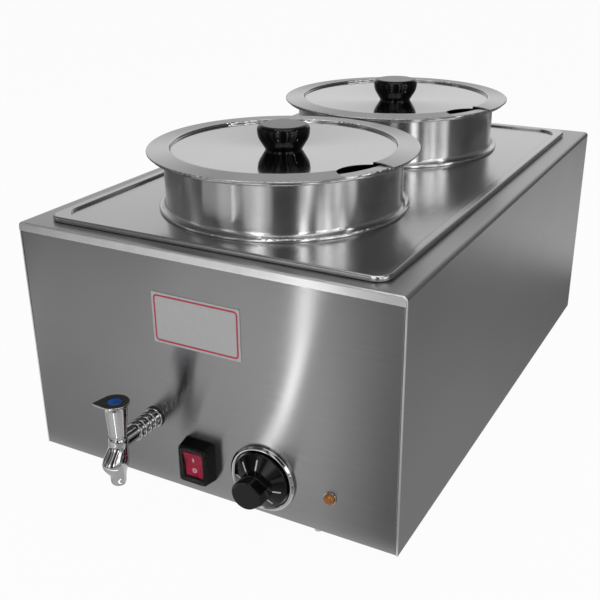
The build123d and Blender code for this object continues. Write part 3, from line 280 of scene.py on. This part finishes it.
# sheet steel with a straight grain
def sheetSteel(name, look):
    material, tree, shader = newFinish(name, metallic=1.0)
    place = objectPlace(tree)
    along = put(tree, "ShaderNodeMapping", {"Vector": place, "Scale": look["stretch"]}).outputs[0]
    lines = noise(tree, along, look["lineScale"], detail=5.0, roughness=0.65)
    cloud = noise(tree, place, look["cloudScale"], detail=2.0)
    tone = mottle(tree, lines, cloud, share=0.55)
    colour = tint(tree, tone, look)
    rough = grainRough(tree, lines, look)
    relief = look["bump"]
    if "deck" in look:  # painted light: faces that point up get a lighter colour
        facesUp = split(tree, put(tree, "ShaderNodeNewGeometry").outputs["Normal"])["Z"]
        onPaintedTopLight = remap(tree, facesUp, *look["deck"]["tilt"])
        colour = blendColours(tree, onPaintedTopLight, colour, tint(tree, tone, look["deck"]))
    if "paintedEdgeLight" in look:  # painted highlight: the lip and cut edges at the front and rear get a bright colour
        paintedEdgeLight = look["paintedEdgeLight"]
        away = calc(tree, "ABSOLUTE", split(tree, place)["Y"])
        onEdge = calc(tree, "GREATER_THAN", away, paintedEdgeLight["depth"])
        offEdge = calc(tree, "SUBTRACT", 1.0, onEdge)
        edgeLightTone = remap(tree, noise(tree, place, paintedEdgeLight["cloudScale"], detail=2.0), *toneRange)
        colour = blendColours(tree, onEdge, colour, tint(tree, edgeLightTone, paintedEdgeLight))
        rough = calc(tree, "MULTIPLY", rough, offEdge)
        rough = calc(tree, "MULTIPLY_ADD", onEdge, paintedEdgeLight["roughness"], rough)
        relief = calc(tree, "MULTIPLY", offEdge, look["bump"])
    feed(tree, shader, Base_Color=colour, Roughness=rough)
    feed(tree, shader, Normal=bump(tree, lines, relief, distance=0.00002))
    brush(tree, shader, look["anisotropy"], look["grainWay"])
    return material


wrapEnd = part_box("body_wrap")[1].y
wrapSteel = {
    "dark": grey(0.290), "light": grey(0.345), "roughness": (0.30, 0.38), "anisotropy": 0.6,
    "stretch": (1.0, 0.02, 1.0), "lineScale": 900.0, "cloudScale": 7.0, "bump": 0.08,
    "grainWay": (0.05, 1.0, 0.0),
    # painted light on the faces that point up: a lighter colour
    "deck": {"dark": grey(0.43), "light": grey(0.50), "tilt": (0.3, 0.7)},
    "paintedEdgeLight": {  # painted highlight on the last 1.5 mm at either end
        "depth": wrapEnd - 0.0015, "dark": grey(0.72), "light": grey(0.79),
        "roughness": 0.30, "cloudScale": 60.0,
    },
}
panelSteel = {
    "dark": grey(0.255), "light": grey(0.300), "roughness": (0.18, 0.22), "anisotropy": 1.0,
    "stretch": (0.02, 1.0, 1.0), "lineScale": 900.0, "cloudScale": 7.0, "bump": 0.05,
    "grainWay": (1.0, 0.02, 0.02),
}
plateSteel = {
    "dark": grey(0.46), "light": grey(0.52), "roughness": (0.18, 0.23), "anisotropy": 0.5,
    "stretch": (1.0, 0.03, 1.0), "lineScale": 500.0, "cloudScale": 6.0, "bump": 0.03,
    "grainWay": (0.05, 1.0, 0.0),
}
finishes["satin_steel"] = sheetSteel("wrapSteel", wrapSteel)
panelFinish = sheetSteel("panelSteel", panelSteel)
ownFinish["front_panel"] = panelFinish
ownFinish["rear_panel"] = panelFinish
ownFinish["adaptor_plate"] = sheetSteel("plateSteel", plateSteel)


# spun steel: the grain runs round the piece's upright axis
def spunSteel(name, look, axis):
    material, tree, shader = newFinish(name, metallic=1.0)
    place = objectPlace(tree)
    axes = split(tree, vectorCalc(tree, "SUBTRACT", place, (axis.x, axis.y, 0.0)))
    outward = join(tree, X=axes["X"], Y=axes["Y"])
    radius = vectorCalc(tree, "LENGTH", outward)
    turnX = calc(tree, "MULTIPLY", calc(tree, "DIVIDE", axes["X"], radius), look["turnScale"])
    turnY = calc(tree, "MULTIPLY", calc(tree, "DIVIDE", axes["Y"], radius), look["turnScale"])
    ringRise = calc(tree, "MULTIPLY", calc(tree, "ADD", radius, axes["Z"]), look["ringScale"])
    rings = noise(tree, join(tree, X=turnX, Y=turnY, Z=ringRise), scale=1.0, detail=4.0, roughness=0.6)
    cloud = noise(tree, place, look["cloudScale"], detail=2.0)
    colour = tint(tree, mottle(tree, rings, cloud, share=0.6), look)
    rough = grainRough(tree, rings, look)
    if "brushed" in look:  # coarser grain outside this radius
        outside = calc(tree, "GREATER_THAN", radius, look["brushed"]["from"])
        coarser = calc(tree, "SUBTRACT", grainRough(tree, rings, look["brushed"]), rough)
        rough = calc(tree, "MULTIPLY_ADD", outside, coarser, rough)
    feed(tree, shader, Base_Color=colour, Roughness=rough)
    feed(tree, shader, Normal=bump(tree, rings, look["bump"], distance=0.00002))
    ringWay = vectorCalc(tree, "CROSS_PRODUCT", (0.0, 0.0, 1.0), outward)
    brush(tree, shader, look["anisotropy"], ringWay)
    return material


potSteel = {
    "dark": grey(0.54), "light": grey(0.60), "roughness": (0.19, 0.22), "anisotropy": 1.0,
    "ringScale": 1600.0, "turnScale": 2.0, "cloudScale": 9.0, "bump": 0.04,
}
lidSteel = {
    "dark": grey(0.43), "light": grey(0.475), "roughness": (0.05, 0.09), "anisotropy": 0.9,
    "ringScale": 1400.0, "turnScale": 1.5, "cloudScale": 8.0, "bump": 0.02,
    "brushed": {"from": 0.1035, "roughness": (0.22, 0.28)},
}
for end in ("front", "rear"):
    ownFinish[end + "_pot"] = spunSteel(end + "PotSteel", potSteel, boxMiddle(end + "_pot"))
    ownFinish[end + "_lid"] = spunSteel(end + "LidSteel", lidSteel, boxMiddle(end + "_lid"))


# bare plate with a plain printed border line
def borderedPlate(name, look, node):
    material, tree, shader = newFinish(name)
    place = objectPlace(tree)
    low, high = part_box(node)
    size = high - low
    axes = split(tree, vectorCalc(tree, "SUBTRACT", place, boxMiddle(node)))
    past = []  # distance past the start of a corner's arc, across and up
    for axis, side in (("X", size.x), ("Z", size.z)):
        straight = side / 2 - look["inset"] - look["corner"]
        past.append(calc(tree, "SUBTRACT", calc(tree, "ABSOLUTE", axes[axis]), straight))
    across, upward = [calc(tree, "MAXIMUM", reach, 0.0) for reach in past]
    outside = vectorCalc(tree, "LENGTH", join(tree, X=across, Z=upward))
    inside = calc(tree, "MINIMUM", calc(tree, "MAXIMUM", *past), 0.0)
    edge = calc(tree, "SUBTRACT", calc(tree, "ADD", outside, inside), look["corner"])
    line = calc(tree, "LESS_THAN", calc(tree, "ABSOLUTE", edge), look["line"] / 2)
    bare = tint(tree, noise(tree, place, look["cloudScale"]), look)
    rough = grainRough(tree, noise(tree, place, look["glossScale"]), look)
    feed(tree, shader, Base_Color=blendColours(tree, line, bare, look["ink"]), Roughness=rough)
    skin = noise(tree, place, look["skinScale"])
    feed(tree, shader, Normal=bump(tree, skin, look["bump"], distance=0.00002))
    return material


labelPlate = {
    "dark": grey(0.48), "light": grey(0.55), "ink": (0.50, 0.022, 0.055, 1),
    "inset": 0.0026, "line": 0.0017, "corner": 0.0030, "roughness": (0.34, 0.44),
    "cloudScale": 300.0, "glossScale": 900.0, "skinScale": 1500.0, "bump": 0.05,
}
finishes["label"] = borderedPlate("labelPlate", labelPlate, "label_plate")

for name, node in nodes.items():
    slot = node.data.materials[0].name.split(".")[0]
    node.material_slots[0].material = ownFinish.get(name) or finishes[slot]
print("finishes on", len(nodes), "CAD nodes")


# blocks set round an axis along Y, as one Geometry Nodes tool
def blockRing():
    group = bpy.data.node_groups.new("blockRing", "GeometryNodeTree")
    sockets = {
        "Count": "Int", "Start": "Float", "Step": "Float", "Radius": "Float", "Tilt": "Float",
        "Centre": "Vector", "Block": "Vector", "Finish": "Material",
    }
    for name, kind in sockets.items():
        group.interface.new_socket(name, in_out="INPUT", socket_type="NodeSocket" + kind)
    group.interface.new_socket("Geometry", in_out="OUTPUT", socket_type="NodeSocketGeometry")
    given = put(group, "NodeGroupInput").outputs
    index = put(group, "GeometryNodeInputIndex").outputs[0]
    turn = calc(group, "ADD", calc(group, "MULTIPLY", index, given["Step"]), given["Start"])
    across = calc(group, "MULTIPLY", calc(group, "SINE", turn), given["Radius"])
    upward = calc(group, "MULTIPLY", calc(group, "COSINE", turn), given["Radius"])
    spot = vectorCalc(group, "ADD", join(group, X=across, Z=upward), given["Centre"])
    spots = put(group, "GeometryNodePoints", {"Count": given["Count"], "Position": spot}).outputs[0]
    angles = join(group, X=given["Tilt"], Y=turn)
    turned = put(group, "FunctionNodeEulerToRotation", {0: angles}).outputs[0]
    block = put(group, "GeometryNodeMeshCube", {"Size": given["Block"]}).outputs[0]
    inputs = {"Points": spots, "Instance": block, "Rotation": turned}
    placed = put(group, "GeometryNodeInstanceOnPoints", inputs).outputs[0]
    solid = put(group, "GeometryNodeRealizeInstances", {"Geometry": placed}).outputs[0]
    inputs = {"Geometry": solid, "Material": given["Finish"]}
    dressed = put(group, "GeometryNodeSetMaterial", inputs).outputs[0]
    put(group, "NodeGroupOutput", {"Geometry": dressed})
    return group


def ringPiece(name, ring, finish, body):
    piece = addObject(name, bpy.data.meshes.new(name))
    modifier = piece.modifiers.new("blockRing", "NODES")
    modifier.node_group = blockTool
    keys = {item.name: item.identifier for item in blockTool.interface.items_tree if item.in_out == "INPUT"}
    for key, value in ring.items():
        modifier[keys[key]] = value
    modifier[keys["Finish"]] = finish
    evaluated = piece.evaluated_get(bpy.context.evaluated_depsgraph_get())
    baked = bpy.data.meshes.new_from_object(evaluated)
    piece.modifiers.remove(modifier)
    piece.data = baked
    baked.name = name
    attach(piece, body)


blockTool = blockRing()
inkLook = {
    "dark": grey(0.62), "light": grey(0.74),
    "roughness": (0.40, 0.52), "skin": 900.0, "cloud": 200.0, "bump": 0.10,
}
markInk = moulded("markInk", inkLook)

dialMiddle = boxMiddle("thermostat_dial")
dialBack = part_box("thermostat_dial")[1].y
tickRise = 0.00712  # dial's back to its cone at the middle of a tick
dialTicks = {  # printed marks on the dial's cone
    "Count": 7, "Start": math.radians(100), "Step": math.radians(43), "Radius": 0.0175,
    "Tilt": -math.radians(27.3), "Centre": (dialMiddle.x, dialBack - tickRise, dialMiddle.z),
    "Block": (0.0012, 0.0002, 0.009),
}
ringPiece("dialTicks", dialTicks, markInk, "dial")

glandMiddle = boxMiddle("cord_gland")
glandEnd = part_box("cord_gland")[1].y
ribInset = 0.0085  # gland's end to the middle of a rib
glandRibs = {  # grip ribs round the cord gland's dome
    "Count": 18, "Start": 0.0, "Step": math.radians(20), "Radius": 0.00955,
    "Tilt": 0.0, "Centre": (glandMiddle.x, glandEnd - ribInset, glandMiddle.z),
    "Block": (0.0013, 0.0085, 0.0012),
}
ringPiece("glandRibs", glandRibs, finishes["black_matte"], "base")


# stroke and ring printed on the rocker, laid on its face
def rockerPrint(marks, finish):
    rocker = nodes["switch_rocker"]
    middle = boxMiddle("switch_housing")
    bar = marks["bar"]
    stroke = []
    for step in range(bar["steps"] + 1):
        rise = bar["rise"] + bar["tall"] * (step / bar["steps"] - 0.5)
        stroke.append([(side * bar["wide"] / 2, rise) for side in (-1, 1)])
    ring = marks["ring"]
    loop = []
    for step in range(ring["sides"] + 1):
        angle = math.tau * step / ring["sides"]
        edges = (ring["inner"], ring["outer"])
        loop.append([(reach * math.sin(angle), ring["rise"] + reach * math.cos(angle)) for reach in edges])
    sheet = bmesh.new()
    for rows in (stroke, loop):
        laid = []
        for row in rows:
            for x, z in row:
                start = Vector((middle.x + x, middle.y - marks["ahead"], middle.z + z))
                spot = rocker.ray_cast(start, Vector((0.0, 1.0, 0.0)))[1]
                laid.append(sheet.verts.new((spot.x, spot.y - marks["lift"], spot.z)))
        for step in range(len(rows) - 1):
            sheet.faces.new([laid[2 * step + corner] for corner in (0, 1, 3, 2)])
    bmesh.ops.remove_doubles(sheet, verts=sheet.verts, dist=marks["merge"])
    bmesh.ops.recalc_face_normals(sheet, faces=sheet.faces)
    bmesh.ops.solidify(sheet, geom=sheet.faces[:], thickness=marks["thick"])
    bmesh.ops.recalc_face_normals(sheet, faces=sheet.faces)
    mesh = bpy.data.meshes.new("rockerPrint")
    sheet.to_mesh(mesh)
    sheet.free()
    mesh.materials.append(finish)
    piece = addObject("rockerPrint", mesh)
    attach(piece, "rocker")


rockerMarks = {  # rises are from the switch's middle
    "ahead": 0.1, "lift": 0.0001, "thick": 0.00015, "merge": 0.000001,
    "bar": {"rise": 0.0045, "wide": 0.0009, "tall": 0.0042, "steps": 6},
    "ring": {"rise": -0.0065, "inner": 0.0014, "outer": 0.0021, "sides": 28},
}
rockerPrint(rockerMarks, markInk)
print("dial ticks, gland ribs and rocker print set")


# stage: turns are degrees from the front towards the right, rises are degrees up
view = {  # camera, fitted to the body's edges
    "turn": 28.75, "rise": 23.37, "roll": -0.55, "place": (0.3998, -0.8332, 0.4901),
    "focal": 911.9, "picture": 600, "sensor": 36.0, "nearest": 0.01,
}


def onCircle(turn, away):
    angle = math.radians(turn)
    return away * math.sin(angle), -away * math.cos(angle)


def flatMesh(name, rows, material, height):
    mesh = bpy.data.meshes.new(name)
    wide = len(rows[0])
    corners = [(x, y, height) for row in rows for x, y, *level in row]
    faces = []
    for step in range(len(rows) - 1):
        for column in range(wide - 1):
            first = step * wide + column
            faces.append((first, first + 1, first + wide + 1, first + wide))
    mesh.from_pydata(corners, [], faces)
    mesh.materials.append(material)
    piece = addObject(name, mesh)
    return piece


# pale floor that keeps a little of the object's shadow
def floorFinish(look):
    material, tree, shader = newFinish("paleFloor")
    shader.inputs["Base Color"].default_value = grey(look["colour"])
    shader.inputs["Roughness"].default_value = look["roughness"]
    ray = put(tree, "ShaderNodeLightPath").outputs
    seen = calc(tree, "MAXIMUM", ray["Is Camera Ray"], ray["Is Glossy Ray"])
    seen = calc(tree, "MAXIMUM", seen, ray["Is Transmission Ray"])
    glow = put(tree, "ShaderNodeEmission", {"Color": grey(1.0), "Strength": 1.0}).outputs[0]
    share = calc(tree, "MULTIPLY", seen, look["glow"])
    mixed = put(tree, "ShaderNodeMixShader", {0: share, 1: shader.outputs[0], 2: glow}).outputs[0]
    tree.links.new(mixed, tree.nodes["Material Output"].inputs["Surface"])
    return material


floorLook = {"colour": 0.86, "roughness": 0.9, "glow": 0.955, "reach": 9.0}
reach = floorLook["reach"]
floorRows = [[(-reach, y), (reach, y)] for y in (-reach, reach)]
flatMesh("floor", floorRows, floorFinish(floorLook), height=0.0)


# cards and light strips on the floor that only the steel sees, with a level at each corner
def cardFinish():
    material = bpy.data.materials.new("floorCard")
    material.use_nodes = True
    tree = material.node_tree
    tree.nodes.remove(tree.nodes["Principled BSDF"])
    level = put(tree, "ShaderNodeAttribute", attribute_name="level").outputs["Fac"]
    glow = put(tree, "ShaderNodeEmission", {"Color": grey(1.0), "Strength": level}).outputs[0]
    tree.links.new(glow, tree.nodes["Material Output"].inputs["Surface"])
    return material


def floorCard(name, rows, height):
    card = flatMesh(name, rows, cardGlow, height)
    levels = card.data.attributes.new("level", "FLOAT", "POINT")
    levels.data.foreach_set("value", [level for row in rows for x, y, level in row])
    card.visible_camera = False
    card.visible_diffuse = False
    card.visible_shadow = False


cardGlow = cardFinish()

panelFall = {  # card before the front panel: level by place across the panel, share by distance from it
    "columns": ((-0.20, 0.66), (-0.10, 0.80), (0.0, 0.98), (0.09, 1.05),
                (0.115, 1.0), (0.14, 0.72), (0.17, 0.42), (0.20, 0.30)),
    "away": ((0.02, 0.72), (0.12, 0.84), (0.30, 1.0), (0.62, 1.0)),
    "height": 0.0006,
}
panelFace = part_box("front_panel")[0].y
eyeX, eyeY = view["place"][:2]
fallRows = []
for away, share in panelFall["away"]:
    fan = away / (panelFace - eyeY)  # columns fan out as the panel mirrors them
    row = []
    for x, level in panelFall["columns"]:
        row.append((x - (eyeX - x) * fan, panelFace - away, level * share))
    fallRows.append(row)
floorCard("panelFall", fallRows, panelFall["height"])

floorStrip = {  # bent light strip before the front panel: place, width and level
    "line": ((-0.270, -0.990, 1.1, 7.0), (-0.200, -0.849, 1.0, 7.0), (-0.159, -0.766, 0.9, 6.0),
             (-0.0535, -0.553, 0.75, 4.2), (-0.0123, -0.4426, 0.52, 3.8), (0.0, -0.393, 0.5, 4.4),
             (0.006, -0.345, 0.5, 3.2)),
    "across": ((-0.014, 0.0), (-0.007, 1.0), (0.007, 1.0), (0.014, 0.0)),
    "floor": 0.95, "height": 0.0009,
}
stripRows = []
for x, y, width, level in floorStrip["line"]:
    over = level - floorStrip["floor"]
    row = []
    for shift, share in floorStrip["across"]:
        row.append((x + shift * width, y, floorStrip["floor"] + share * over))
    stripRows.append(row)
floorCard("floorStrip", stripRows, floorStrip["height"])

sideFall = {  # card beside the right side: levels close by and further out, at steps from front to rear
    "x": (0.186, 0.25, 0.42, 0.62),
    "steps": ((-0.6, (0.50, 0.50, 0.45, 0.45)), (0.0, (0.34, 0.40, 0.40, 0.42)),
              (0.40, (0.20, 0.22, 0.26, 0.30)), (0.52, (0.50, 0.75, 0.85, 0.85)),
              (0.8, (0.46, 0.62, 0.70, 0.72)), (1.4, (0.46, 0.58, 0.62, 0.66))),
    "height": 0.0006,
}
sideRows = []
for y, levels in sideFall["steps"]:
    sideRows.append([(x, y, level) for x, level in zip(sideFall["x"], levels)])
floorCard("sideFall", sideRows, sideFall["height"])

room = {  # levels round the horizon and shares up the height
    "turns": ((-180, 0.78), (-138, 0.78), (-114, 0.45), (-102, 0.28), (-70, 0.26), (-66, 0.80),
              (-61, 0.72), (-56, 0.24), (-33, 0.26), (-28, 1.2), (-20, 0.95), (-15, 0.18),
              (-9, 0.28), (-5, 1.5), (6, 2.2), (12, 1.4), (18, 0.14), (39, 0.10), (42, 0.3),
              (45, 5.0), (49, 3.4), (52, 0.12), (57, 0.16), (61, 1.9), (66, 1.0), (70, 3.6),
              (74, 0.9), (86, 3.2), (90, 0.25), (115, 0.16), (165, 0.20)),
    "rises": ((0, 0.3), (4, 0.5), (8, 0.95), (10.5, 1.2), (14.5, 1.2), (17, 1.0), (20, 1.0),
              (24, 0.72), (30.5, 0.5), (40, 0.42), (60, 0.42), (90, 0.5)),
    "floorShare": 0.40, "floorFrom": (0.66, 8.5), "height": 0.0003,
}
around = [*room["turns"], (180, room["turns"][0][1])]  # closed at the rear
roomRows = []
for away in room["floorFrom"]:
    roomRows.append([(*onCircle(turn, away), level * room["floorShare"]) for turn, level in around])
floorCard("roomFloor", roomRows, room["height"])


def ramp(tree, value, stops):
    node = put(tree, "ShaderNodeValToRGB", {"Fac": value})
    elements = node.color_ramp.elements
    elements.remove(elements[-1])  # a new ramp has two stops
    for number, (place, level) in enumerate(stops):
        stop = elements[0] if number == 0 else elements.new(place)
        stop.position = place
        stop.color = grey(level)
    return node.outputs["Color"]


# the steel mirrors these levels, the camera sees white
def makeRoom(around, rises):
    world = bpy.data.worlds.new("room")
    world.use_nodes = True
    scene.world = world
    tree = world.node_tree
    way = split(tree, put(tree, "ShaderNodeTexCoord").outputs["Generated"])
    turn = calc(tree, "ARCTAN2", way["X"], calc(tree, "MULTIPLY", way["Y"], -1.0))
    turnStops = [((angle + 180) / 360, level) for angle, level in around]
    riseStops = [(math.sin(math.radians(angle)), level) for angle, level in rises]
    roundLevel = ramp(tree, remap(tree, turn, -math.pi, math.pi), turnStops)
    level = calc(tree, "MULTIPLY", roundLevel, ramp(tree, way["Z"], riseStops))
    ray = put(tree, "ShaderNodeLightPath").outputs
    seen = calc(tree, "MAXIMUM", ray["Is Camera Ray"], ray["Is Transmission Ray"])
    sky = tree.nodes["Background"]
    sky.inputs["Color"].default_value = grey(1.0)
    tree.links.new(calc(tree, "MAXIMUM", level, seen), sky.inputs["Strength"])


makeRoom(around, room["rises"])

lamps = {  # level is a lamp's brightness
    "topPanel": {"turn": 20, "away": 0.25, "height": 2.1, "width": 1.5, "tall": 1.5, "level": 1.4},
    "frontBox": {"turn": 3, "away": 2.6, "height": 1.15, "width": 0.5, "tall": 0.4, "level": 2.4},
    "sideBox": {"turn": 64, "away": 2.6, "height": 1.15, "width": 0.6, "tall": 0.4, "level": 1.6},
    "frontLamp": {"turn": 0, "away": 1.3, "height": 1.5, "width": 0.13, "tall": 0.13, "level": 26.0},
    "rightLamp": {"turn": 98, "away": 1.3, "height": 1.5, "width": 0.12, "tall": 0.12, "level": 26.0},
}
lampAim = Vector((0.0, 0.0, 0.2))
for name, lamp in lamps.items():
    light = bpy.data.lights.new(name, "AREA")
    light.shape = "RECTANGLE"
    light.size = lamp["width"]
    light.size_y = lamp["tall"]
    light.energy = lamp["level"] * math.pi * lamp["width"] * lamp["tall"]
    spot = Vector((*onCircle(lamp["turn"], lamp["away"]), lamp["height"]))
    facing = (lampAim - spot).to_track_quat("-Z", "Y").to_matrix().to_4x4()
    lampObject = addObject(name, light)
    lampObject.matrix_world = Matrix.Translation(spot) @ facing
    lampObject.visible_camera = False


def makeCamera(view):
    turn, rise, roll = (math.radians(view[key]) for key in ("turn", "rise", "roll"))
    back = Vector((*onCircle(view["turn"], math.cos(rise)), math.sin(rise)))
    side = Vector((math.cos(turn), math.sin(turn), 0.0))
    up = back.cross(side)
    rolledSide = math.cos(roll) * side + math.sin(roll) * up
    rolledUp = math.cos(roll) * up - math.sin(roll) * side
    lens = bpy.data.cameras.new("camera")
    lens.sensor_width = view["sensor"]
    lens.lens = view["focal"] / view["picture"] * view["sensor"]
    lens.clip_start = view["nearest"]
    camera = addObject("camera", lens)
    turned = Matrix((rolledSide, rolledUp, back)).transposed().to_4x4()
    camera.matrix_world = Matrix.Translation(view["place"]) @ turned
    scene.camera = camera


makeCamera(view)
scene.view_settings.view_transform = "Standard"
print("stage, lamps and camera in place")
